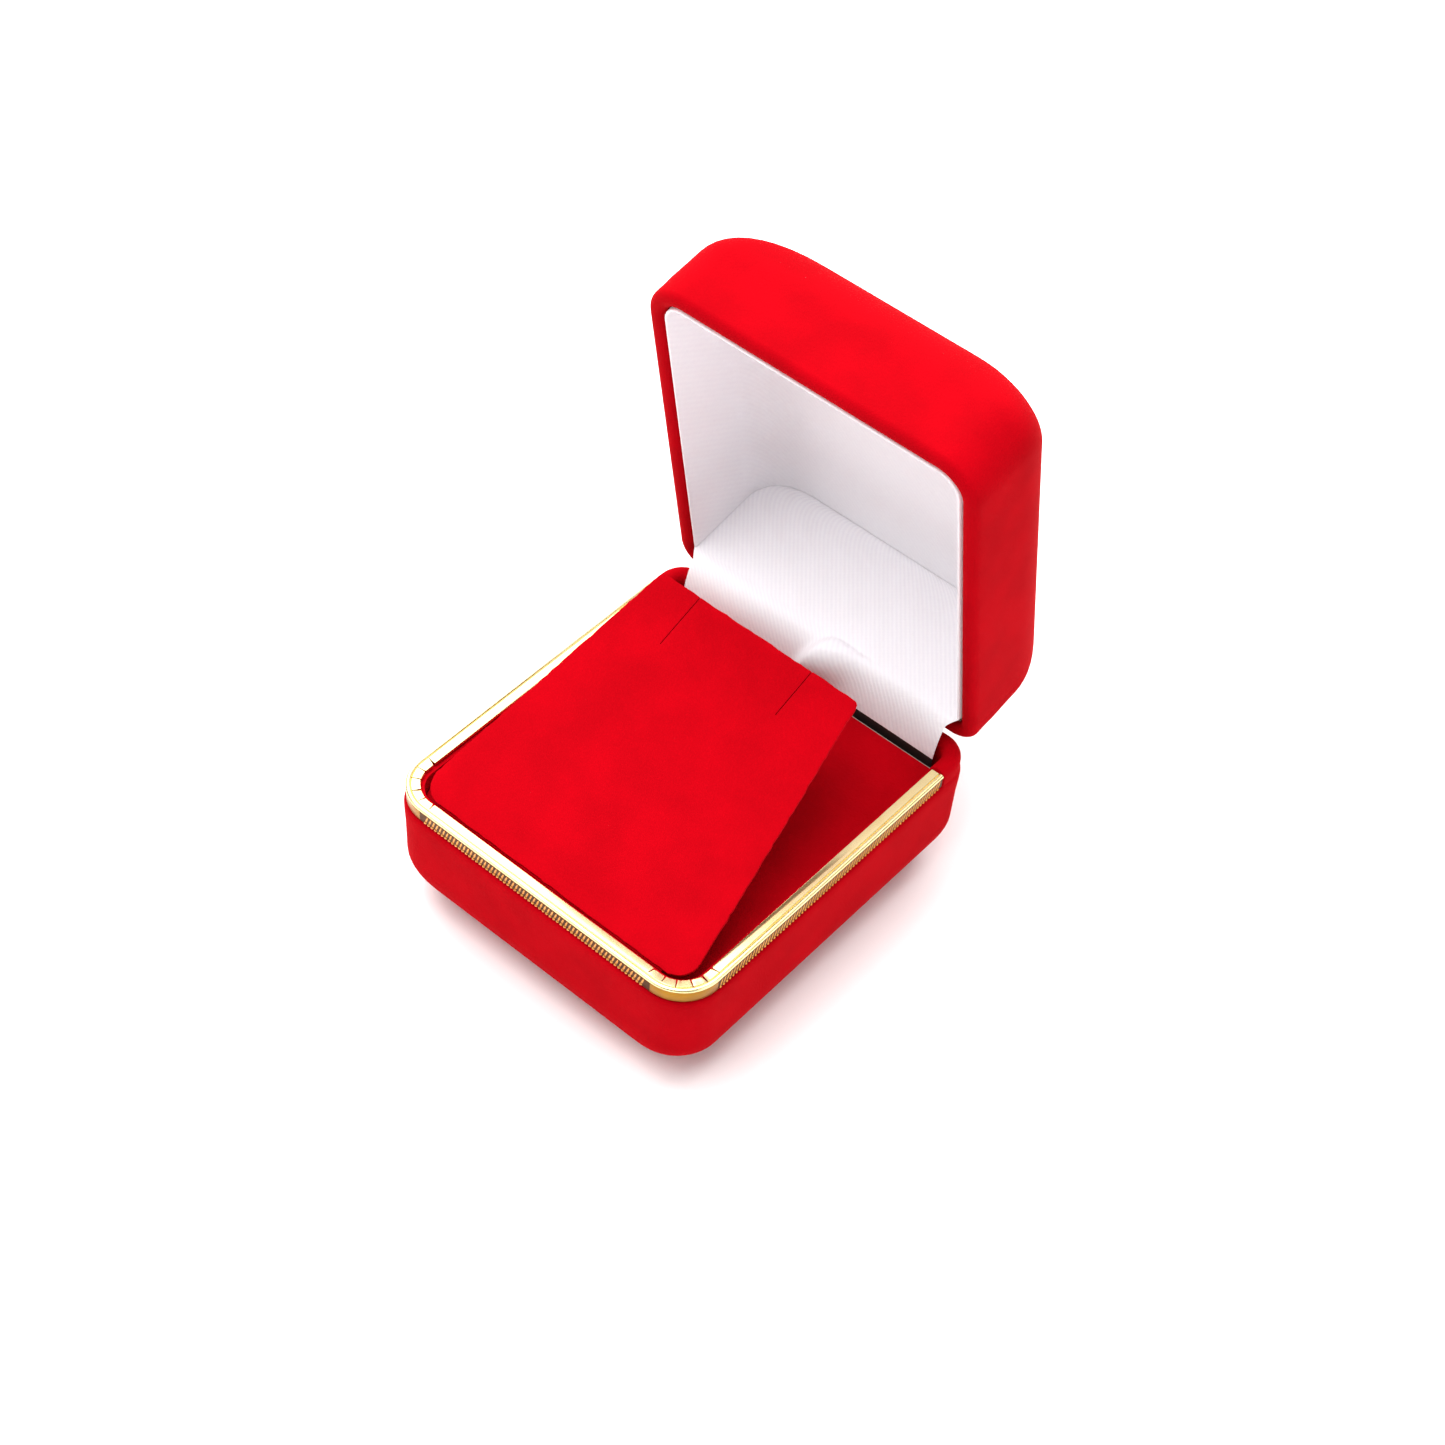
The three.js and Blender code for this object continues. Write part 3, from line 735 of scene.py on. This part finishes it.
def panel_half(z):
    """Half width of the lid's inside at the panel, for a height in the closed lid."""
    straight = FORMED["rim"] + FORMED["height"] - FORMED["edge"]
    climb = min(max((z - straight) / (FORMED["edge"] - LINING_OUT), 0.0), 0.999)
    lv = level(FORMED, LINING_OUT, turn=2 / math.pi * math.asin(climb))
    radius = lv["radius"]["back"]
    behind = max(PANEL_Y - (lv["back"] - radius), 0)
    return lv["half"] - radius + math.sqrt(max(radius**2 - behind**2, 0))


def strip_point(t):
    return panel_low * (1 - t) ** 2 + knee * 2 * t * (1 - t) + STRIP_END * t**2


STRIP_LENGTH = sum((strip_point((i + 1) / 40) - strip_point(i / 40)).length for i in range(40))
PANEL_LENGTH = PANEL_TOP - PANEL_LOW
TAIL_LENGTH = STRIP_END.z - TAIL_Z
SHEET_LENGTH = PANEL_LENGTH + STRIP_LENGTH + TAIL_LENGTH
print("satin", [round(v / MM, 2) for v in (PANEL_LENGTH, STRIP_LENGTH, TAIL_LENGTH)], "mm")


def bell(value, centre, width):
    return math.exp(-(((value - centre) / width) ** 2))


def push_at(x, t):
    """How far the strip stands forward of its route, in mm: a crease on the left, then the spring's bump."""
    crest = 3.2 - 4.4 * t
    bump = bell(x, crest, 0.95 if x < crest else 4.5)
    return 0.3 * bell(x, 0, 4.5) + 3.0 * bump + 0.6 * bell(x, -12, 7) - 0.3 * bell(x, 15, 5)


def satin_place(across, run):
    """Where a point of the satin lies: across from -1 to 1, run in metres from the top of the panel."""
    if run <= PANEL_LENGTH:
        z = PANEL_TOP - run
        return opened @ Vector((across * panel_half(z), PANEL_Y, z))
    along = run - PANEL_LENGTH
    if along >= STRIP_LENGTH:
        return Vector((across * TAIL_HALF, STRIP_END.y, STRIP_END.z - (along - STRIP_LENGTH)))
    t = along / STRIP_LENGTH
    place = strip_point(t)
    wide = min(t / 0.35, 1)
    x = across * (panel_half(PANEL_LOW) * (1 - wide) + TAIL_HALF * wide)
    ahead = (strip_point(min(t + 0.02, 1)) - strip_point(max(t - 0.02, 0))).normalized()
    forward = Vector((0, ahead.z, -ahead.y))
    return Vector((x, place.y, place.z)) + forward * push_at(x / MM, t) * math.sin(math.pi * t) ** 0.7 * MM


# %% [markdown]
# The sheet is laid on this route first, and then a short cloth simulation lets the loose part settle. The
# panel, the tail and the side edges are pinned, as the card and the glue hold them. The loose part is held
# weakly, so that it keeps the spring's push, and the cloth is let out a little, so its bends soften. Cloth
# behaves best at the size of garments, so the sheet is enlarged for this and brought back afterwards.

# %% The sheet, settled as cloth
COLUMNS, ROWS = 96, 66
ENLARGE = 20
LOOSE_HOLD = 0.4
SETTLE_FRAMES = 16
satin = new_piece("satin_panel_and_strip", bpy.ops.mesh.primitive_grid_add,
                  x_subdivisions=COLUMNS, y_subdivisions=ROWS, size=2)
held = satin.vertex_groups.new(name="held")
for vertex in satin.data.vertices:
    run = (1 - vertex.co.y) / 2 * SHEET_LENGTH
    t = (run - PANEL_LENGTH) / STRIP_LENGTH
    loose = 0.02 < t < 0.98 and abs(vertex.co.x) <= 0.99
    held.add([vertex.index], LOOSE_HOLD if loose else 1.0, "REPLACE")
    vertex.co = satin_place(vertex.co.x, run) * ENLARGE
outline = [vertex.co.copy() for vertex in satin.data.vertices]
only(satin)
cloth = satin.modifiers.new("cloth", "CLOTH")
cloth.settings.quality = 8
cloth.settings.mass = 0.2
cloth.settings.tension_stiffness = cloth.settings.compression_stiffness = 25
cloth.settings.bending_stiffness = 1.5
cloth.settings.shrink_min = cloth.settings.shrink_max = -0.006
cloth.settings.vertex_group_mass = "held"
cloth.settings.effector_weights.gravity = 0.15
cloth.point_cache.frame_start, cloth.point_cache.frame_end = 1, SETTLE_FRAMES
for frame_number in range(1, SETTLE_FRAMES + 1):
    bpy.context.scene.frame_set(frame_number)
bpy.ops.object.modifier_apply(modifier="cloth")
bpy.context.scene.frame_set(1)
moved = [(vertex.co - was).length for vertex, was in zip(satin.data.vertices, outline)]
print("cloth moved up to", round(max(moved) / ENLARGE / MM, 2), "mm")
for vertex in satin.data.vertices:
    vertex.co /= ENLARGE
satin.vertex_groups.clear()
apply_modifier(satin, "SUBSURF", levels=1, render_levels=1)
apply_modifier(satin, "SOLIDIFY", thickness=0.14 * MM, offset=0)
smooth(satin, 80)
count(satin)

# %% [markdown]
# ## Bow spring
# A strip of spring steel runs from the base leaf to the lid and bows forward as the lid opens, which is what
# snaps it. It is drawn along a curve.

# %% Bow spring
SPRING_HALF = 3 * MM
spring_stops = [  # y and z in mm, from the base leaf up and back to the lid
    (25.22, 14.6), (25.22, 17.6), (25.3, 19.4), (25.9, 21.2), (27.3, 22.7), (29.6, 23.35), (32, 23.8),
]
spring = line_curve("bow_spring", [(-SPRING_HALF, y * MM, z * MM) for y, z in spring_stops])
only(spring)
bpy.ops.object.convert(target="MESH")
spring = bpy.context.object
edit(spring)
bpy.ops.mesh.select_all(action="SELECT")
bpy.ops.mesh.extrude_region_move(TRANSFORM_OT_translate={"value": (2 * SPRING_HALF, 0, 0)})
bpy.ops.mesh.subdivide(number_cuts=2, smoothness=1.0)
leave()
apply_modifier(spring, "SOLIDIFY", thickness=0.2 * MM, offset=0)
smooth(spring, 40)
count(spring)

# %% [markdown]
# ## Colours and nodes
# Colours are picked as sRGB hex values and turned into the linear values that the shaders use. One helper
# adds a node with its settings and its inputs.

# %% Helpers for materials
def colour(hex_code):
    """Linear RGBA of an sRGB hex colour."""
    parts = [int(hex_code[i:i + 2], 16) / 255 for i in (1, 3, 5)]
    return (*[v / 12.92 if v <= 0.04045 else ((v + 0.055) / 1.055) ** 2.4 for v in parts], 1)


def add(tree, kind, inputs=(), **settings):
    """Adds a node; an input takes a value or another node's output."""
    made = tree.nodes.new(kind)
    for key, value in settings.items():
        setattr(made, key, value)
    for socket, value in dict(inputs).items():
        if isinstance(value, bpy.types.NodeSocket):
            tree.links.new(value, made.inputs[socket])
        else:
            made.inputs[socket].default_value = value
    return made


def material(name, **shader_inputs):
    """A material with its Principled shader set; returns it with its node tree and shader."""
    made = bpy.data.materials.new(name)
    made.use_nodes = True
    tree = made.node_tree
    shader = tree.nodes["Principled BSDF"]
    for socket, value in shader_inputs.items():
        shader.inputs[socket.replace("_", " ")].default_value = value
    return made, tree, shader


def dress(piece, *finishes):
    piece.data.materials.clear()
    for finish in finishes:
        piece.data.materials.append(finish)


# %% [markdown]
# ### Flocked velvet
# Flocking is short nylon fibre shot into glue, standing on end. Seen down the fibres it is deep and
# saturated, and edges catch a little light, which is what sheen does. The fibres are 0.02 mm thick and far
# too fine to show, so the grain is drawn at about 0.35 mm, with slow patches where the pile leans.

# %% Velvet
def flocked_velvet():
    made, tree, shader = material("flocked_nylon_velvet", Roughness=0.95, Sheen_Weight=0.12,
                                  Sheen_Roughness=0.35, Sheen_Tint=colour("#ff1818"))
    shader.inputs["Specular IOR Level"].default_value = 0.04
    place = add(tree, "ShaderNodeTexCoord").outputs["Object"]
    patches = add(tree, "ShaderNodeTexNoise", {"Vector": place, "Scale": 1 / (7 * MM), "Detail": 3.0})
    grain = add(tree, "ShaderNodeTexNoise", {"Vector": place, "Scale": 1 / (0.35 * MM), "Detail": 2.0})
    lean = add(tree, "ShaderNodeMapRange", {"Value": patches.outputs["Fac"], "From Min": 0.35,
                                            "From Max": 0.65, "To Min": 0.0, "To Max": 0.6})
    speck = add(tree, "ShaderNodeMath", {0: grain.outputs["Fac"], 1: 0.4}, operation="MULTIPLY")
    share = add(tree, "ShaderNodeMath", {0: lean.outputs["Result"], 1: speck.outputs["Value"]},
                operation="ADD", use_clamp=True)
    red = add(tree, "ShaderNodeMix", {"Factor": share.outputs["Value"], "A": colour("#b8000f"),
                                      "B": colour("#a6000c")}, data_type="RGBA")
    tree.links.new(red.outputs[2], shader.inputs["Base Color"])
    bump = add(tree, "ShaderNodeBump", {"Height": grain.outputs["Fac"], "Strength": 0.35,
                                        "Distance": 0.12 * MM})
    tree.links.new(bump.outputs["Normal"], shader.inputs["Normal"])
    return made


velvet = flocked_velvet()
for piece in (base_cover, lid_cover, insert_floor, flap, fold):
    dress(piece, velvet)

# %% [markdown]
# ### Gilt brass
# The strip is brass-plated and lacquered, so it is a metal with a clear reflection and a very fine waviness
# from rolling. The knurled flange is the same metal, but its ridges get a darker, more orange copy of it as
# painted shade, and the flange in the hollows between them is near-black brown as painted shade. Where the
# flange is bent round the corners it is smooth, and it gets a darker copy than the polished top: painted
# shade for faces that turn sideways.

# %% Gilt metal
def gilt(name, bright, dark, roughness):
    made, tree, shader = material(name, Metallic=1.0, Roughness=roughness)
    place = add(tree, "ShaderNodeTexCoord").outputs["Object"]
    clouds = add(tree, "ShaderNodeTexNoise", {"Vector": place, "Scale": 1 / (2.5 * MM), "Detail": 4.0})
    tone = add(tree, "ShaderNodeMix", {"Factor": clouds.outputs["Fac"], "A": colour(bright),
                                       "B": colour(dark)}, data_type="RGBA")
    tree.links.new(tone.outputs[2], shader.inputs["Base Color"])
    bump = add(tree, "ShaderNodeBump", {"Height": clouds.outputs["Fac"], "Strength": 0.12,
                                        "Distance": 0.05 * MM})
    tree.links.new(bump.outputs["Normal"], shader.inputs["Normal"])
    return made


polished_gilt = gilt("lacquered_gilt_brass", "#fff2c0", "#fbe49a", 0.24)
# Knurl ridges: the same brass in darker, more orange tones, as painted shade on faces that turn sideways.
shaded_knurl_gilt = gilt("knurled_gilt_brass", "#e2a45a", "#c07a2c", 0.3)
# Outer flange: the same brass in darker tones, as painted shade on faces that turn sideways.
shaded_flange_gilt = gilt("smooth_gilt_flange_painted_shade", "#b0801c", "#8c5c10", 0.3)
# Near-black brown for the flange between the knurl's ridges: painted shade in the hollows.
hollow_painted_shade = gilt("painted_shade_in_knurl", "#5c3406", "#402002", 0.45)
dress(rim_strip, polished_gilt, shaded_flange_gilt, hollow_painted_shade)
# Sideways faces of the outer flange get the darker copy as painted shade; below the bead on the straight runs
# they get the painted shade of the knurl's hollows.
for face in rim_strip.data.polygons:
    at = face.center
    outside = from_core(at) > CORNER_R - 0.25 * MM
    if face.normal.z < 0.25 and at.z < RIM_Z - 0.3 * MM and at.z > RIM_Z - TRIM_DROP - 0.1 * MM and outside:
        bent = abs(at.x) > corner_x + 0.1 * MM and at.y < corner_y - 0.1 * MM
        below_bead = at.z < RIM_Z - 0.66 * MM
        face.material_index = 2 if below_bead and not bent else 1
for row in rows:
    dress(row, shaded_knurl_gilt)

# %% [markdown]
# ### Satin
# The satin is a white twill-faced acetate with a soft sheen. Its ribs are threads under 0.2 mm apart, too
# fine to show, so they are drawn 0.58 mm apart, with fainter threads across them and some uneven thread over
# both. On the loose sheet the pattern follows the cloth through its UV map; on the formed lining it follows
# the object. The sheet's tail is hidden behind the insert. Below a set height it is painted near-black, as
# painted shade for the deep, narrow slot between the insert and the satin.

# %% Satin
WAVE_MM = math.tau / 20  # a wave of this scale repeats every unit, here a millimetre
RIB_MM, PICK_MM = 0.58, 0.5
# Below this height the satin's tail is painted near-black: painted shade for the slot behind the insert.
SLOT_SHADE_TOP_Z = FLOOR_Z + 0.9 * MM
TWILL_ANGLE = math.radians(39)


def twill_satin(name, place_output, mapping, slubs):
    """The weave laid by a mapping in mm; slubs is the share of uneven thread in it, from 0 to 1."""
    made, tree, shader = material(name, Roughness=0.5, Sheen_Weight=0.2, Sheen_Roughness=0.3)
    shader.inputs["Specular IOR Level"].default_value = 0.35
    place = add(tree, "ShaderNodeTexCoord").outputs[place_output]
    laid = add(tree, "ShaderNodeMapping", {"Vector": place, **mapping}).outputs["Vector"]
    ribs = add(tree, "ShaderNodeTexWave", {"Vector": laid, "Scale": WAVE_MM / RIB_MM, "Distortion": 0.8,
                                           "Detail": 2.0, "Detail Scale": 2.0}, bands_direction="X")
    picks = add(tree, "ShaderNodeTexWave", {"Vector": laid, "Scale": WAVE_MM / PICK_MM, "Distortion": 1.5,
                                            "Detail": 2.0}, bands_direction="Y")
    slub = add(tree, "ShaderNodeTexNoise", {"Vector": laid, "Scale": 1.6, "Detail": 3.0})
    weave = add(tree, "ShaderNodeMix", {"Factor": 0.12, "A": ribs.outputs["Fac"], "B": picks.outputs["Fac"]})
    cloth = add(tree, "ShaderNodeMix", {"Factor": slubs, "A": weave.outputs[0], "B": slub.outputs["Fac"]})
    tone = add(tree, "ShaderNodeMix", {"Factor": cloth.outputs[0], "A": colour("#f3f1f6"),
                                       "B": colour("#fdfcfe")}, data_type="RGBA")
    tree.links.new(tone.outputs[2], shader.inputs["Base Color"])
    bump = add(tree, "ShaderNodeBump", {"Height": cloth.outputs[0], "Strength": 0.4,
                                        "Distance": 0.08 * MM})
    tree.links.new(bump.outputs["Normal"], shader.inputs["Normal"])
    return made


per_mm = 1 / MM
across_walls = math.radians(35)
lining_satin = twill_satin("twill_satin_formed", "Object", {
    "Rotation": (OPEN_ANGLE, across_walls, across_walls), "Scale": (per_mm, per_mm, per_mm),
}, slubs=0.75)
sheet_satin = twill_satin("twill_satin_sheet", "UV", {
    "Scale": (2 * panel_half(PANEL_LOW) / MM, SHEET_LENGTH / MM, 1), "Rotation": (0, 0, -TWILL_ANGLE),
}, slubs=0.35)
dress(lid_lining, lining_satin)
# Near-black brown: painted shade in the slot behind the insert, put on the satin's tail.
slot_shade = material("painted_slot_shade", Roughness=0.6, Base_Color=colour("#1c0d0c"))[0]
dress(satin, sheet_satin, slot_shade)
# Faces below that height take the painted shade.
for face in satin.data.polygons:
    face.material_index = 1 if face.center.z < SLOT_SHADE_TOP_Z else 0

# %% [markdown]
# ### Hidden parts
# The shells, cards, foam and hinge keep the frame's shapes. They show only through gaps and when the box
# is taken apart, but each still gets the finish of its own material.

# %% Shell plastic, board, foam and spring steel
def moulded_polystyrene():
    made, tree, shader = material("moulded_polystyrene", Roughness=0.5)
    place = add(tree, "ShaderNodeTexCoord").outputs["Object"]
    flow = add(tree, "ShaderNodeTexNoise", {"Vector": place, "Scale": 1 / (4 * MM), "Detail": 2.0})
    tone = add(tree, "ShaderNodeMix", {"Factor": flow.outputs["Fac"], "A": colour("#4a1216"),
                                       "B": colour("#3a0c10")}, data_type="RGBA")
    tree.links.new(tone.outputs[2], shader.inputs["Base Color"])
    return made


def grey_board():
    made, tree, shader = material("grey_board", Roughness=0.9)
    place = add(tree, "ShaderNodeTexCoord").outputs["Object"]
    fibre = add(tree, "ShaderNodeTexNoise", {"Vector": place, "Scale": 1 / (0.6 * MM), "Detail": 4.0})
    tone = add(tree, "ShaderNodeMix", {"Factor": fibre.outputs["Fac"], "A": colour("#9b9186"),
                                       "B": colour("#7d746a")}, data_type="RGBA")
    tree.links.new(tone.outputs[2], shader.inputs["Base Color"])
    bump = add(tree, "ShaderNodeBump", {"Height": fibre.outputs["Fac"], "Strength": 0.3,
                                        "Distance": 0.05 * MM})
    tree.links.new(bump.outputs["Normal"], shader.inputs["Normal"])
    return made


def open_cell_foam():
    made, tree, shader = material("open_cell_foam", Roughness=0.95)
    place = add(tree, "ShaderNodeTexCoord").outputs["Object"]
    cells = add(tree, "ShaderNodeTexVoronoi", {"Vector": place, "Scale": 1 / (0.7 * MM)})
    tone = add(tree, "ShaderNodeMix", {"Factor": cells.outputs["Distance"], "A": colour("#cfc6b2"),
                                       "B": colour("#f1ecdf")}, data_type="RGBA")
    tree.links.new(tone.outputs[2], shader.inputs["Base Color"])
    bump = add(tree, "ShaderNodeBump", {"Height": cells.outputs["Distance"], "Strength": 0.6,
                                        "Distance": 0.3 * MM})
    tree.links.new(bump.outputs["Normal"], shader.inputs["Normal"])
    return made


def rolled_spring_steel():
    made, tree, shader = material("rolled_spring_steel", Metallic=1.0, Roughness=0.32)
    place = add(tree, "ShaderNodeTexCoord").outputs["Object"]
    laid = add(tree, "ShaderNodeMapping", {"Vector": place, "Scale": (0.1, 1, 1)}).outputs["Vector"]
    drawn = add(tree, "ShaderNodeTexNoise", {"Vector": laid, "Scale": 1 / (0.25 * MM), "Detail": 3.0})
    tone = add(tree, "ShaderNodeMix", {"Factor": drawn.outputs["Fac"], "A": colour("#c9ccd0"),
                                       "B": colour("#a4a7ac")}, data_type="RGBA")
    tree.links.new(tone.outputs[2], shader.inputs["Base Color"])
    bump = add(tree, "ShaderNodeBump", {"Height": drawn.outputs["Fac"], "Strength": 0.15,
                                        "Distance": 0.03 * MM})
    tree.links.new(bump.outputs["Normal"], shader.inputs["Normal"])
    return made


plastic, board, foam, steel = moulded_polystyrene(), grey_board(), open_cell_foam(), rolled_spring_steel()
nodes = frame["nodes"]
for names, finish in (
    (("base_shell", "lid_shell"), plastic),
    (("insert_tray", "flap_card", "lid_liner_card", "back_panel_card"), board),
    (("foam_block",), foam),
    (("hinge_base_leaf", "hinge_lid_leaf", "hinge_pin"), steel),
):
    for node_name in names:
        dress(nodes[node_name], finish)
dress(spring, steel)

# %% [markdown]
# ## Riding the frame
# Each piece now says which body carries it and which plain solid it stands for. The satin, the fold and the
# spring cross a joint; they are left where they were built, fixed in world space, and their plain solids are
# hidden.

# %% Bodies
for piece, body, stands_for, slot in (
    (base_cover, "base", "base_cover", "velvet_red"),
    (rim_strip, "base", "rim_trim", "gold_trim"),
    (insert_floor, "base", "insert_velvet", "velvet_red"),
    (flap, "flap", "flap_velvet", "velvet_red"),
    (lid_cover, "lid", "lid_cover", "velvet_red"),
    (lid_lining, "lid", "lid_satin_lining", "satin_white"),
):
    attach(piece, body)
    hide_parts(stands_for)
# the lining also stands for the card that it is formed on
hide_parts("lid_satin_lining", "lid_liner_card")
for row in rows:
    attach(row, "base")

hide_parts("fold_web")
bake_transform(fold)

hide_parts("back_panel_satin", "satin_tail")
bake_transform(satin)

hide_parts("snap_spring")
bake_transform(spring)

# %% [markdown]
# ## Studio
# A plain pale floor, a bright even surround and four soft lights. The large one, above and behind left, gives
# the metal its bright top. Weaker ones above, in front and at the right lift the sides.

# %% Floor, surround and lights
floor = new_piece("floor", bpy.ops.mesh.primitive_plane_add, size=4)
dress(floor, material("matt_paper", Roughness=0.9, Base_Color=colour("#fbfbfb"))[0])

world = bpy.data.worlds.new("studio")
bpy.context.scene.world = world
world.use_nodes = True
world.node_tree.nodes["Background"].inputs["Color"].default_value = (1, 1, 1, 1)
world.node_tree.nodes["Background"].inputs["Strength"].default_value = 0.42


def soft_light(name, at, size, watts):
    data = bpy.data.lights.new(name, "AREA")
    data.size = size
    data.energy = watts
    made = bpy.data.objects.new(name, data)
    bpy.context.scene.collection.objects.link(made)
    made.location = at
    aim = Vector((0, 0.005, 0.02)) - Vector(at)
    made.rotation_euler = aim.to_track_quat("-Z", "Y").to_euler()
    return made


soft_light("key", (-0.3, 0.36, 0.62), 1.2, 13.5)
soft_light("overhead", (-0.12, -0.2, 0.75), 0.7, 5)
soft_light("front", (-0.45, -0.65, 0.4), 0.6, 1.0)
soft_light("right", (0.7, 0.1, 0.35), 0.5, 1.3)
bpy.context.scene.view_settings.view_transform = "Standard"
